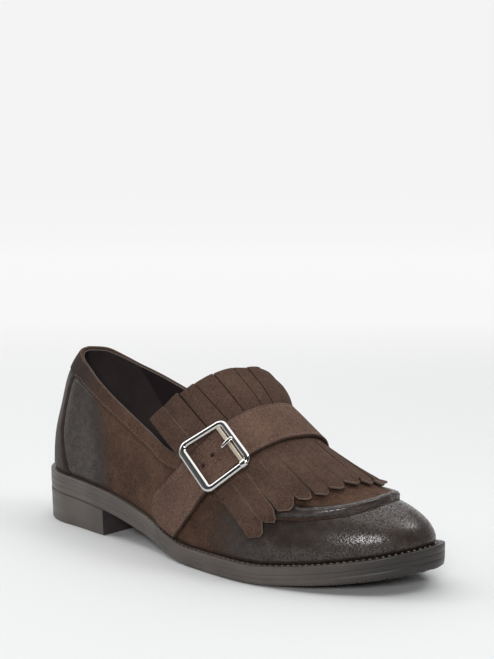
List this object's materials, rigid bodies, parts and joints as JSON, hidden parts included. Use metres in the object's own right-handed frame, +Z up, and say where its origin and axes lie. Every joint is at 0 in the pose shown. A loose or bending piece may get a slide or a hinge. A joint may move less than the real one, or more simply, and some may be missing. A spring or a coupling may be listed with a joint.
{
  "type": "kiltie loafer",
  "caption": "Right-foot slip-on loafer in dark brown suede with a fringed kiltie flap, a buckled instep strap, a raised apron seam, a low stacked heel and a welted sole.",
  "frame": {"origin": "on the floor under the middle of the shoe's box", "axes": "+X towards the toe, +Y towards the inner side of the foot, +Z up"},
  "size_m": [0.266, 0.0898, 0.1003],
  "materials": {
    "sole_rubber": "satin dark brown edge",
    "lining_leather": "smooth dark lining leather",
    "upper_suede": "brown suede, burnished to a dark gloss at toe and heel",
    "kiltie_suede": "brown suede with a short nap",
    "strap_suede": "reddish brown suede with a short nap",
    "buckle_chrome": "polished"
  },
  "bodies": {
    "root": {"outsole": "sole_rubber", "welt": "sole_rubber", "heel": "sole_rubber", "insole": "lining_leather", "upper": "upper_suede", "kiltie": "kiltie_suede", "strap": "strap_suede", "buckle_frame": "buckle_chrome", "buckle_prong": "buckle_chrome"}
  },
  "joints": []
}
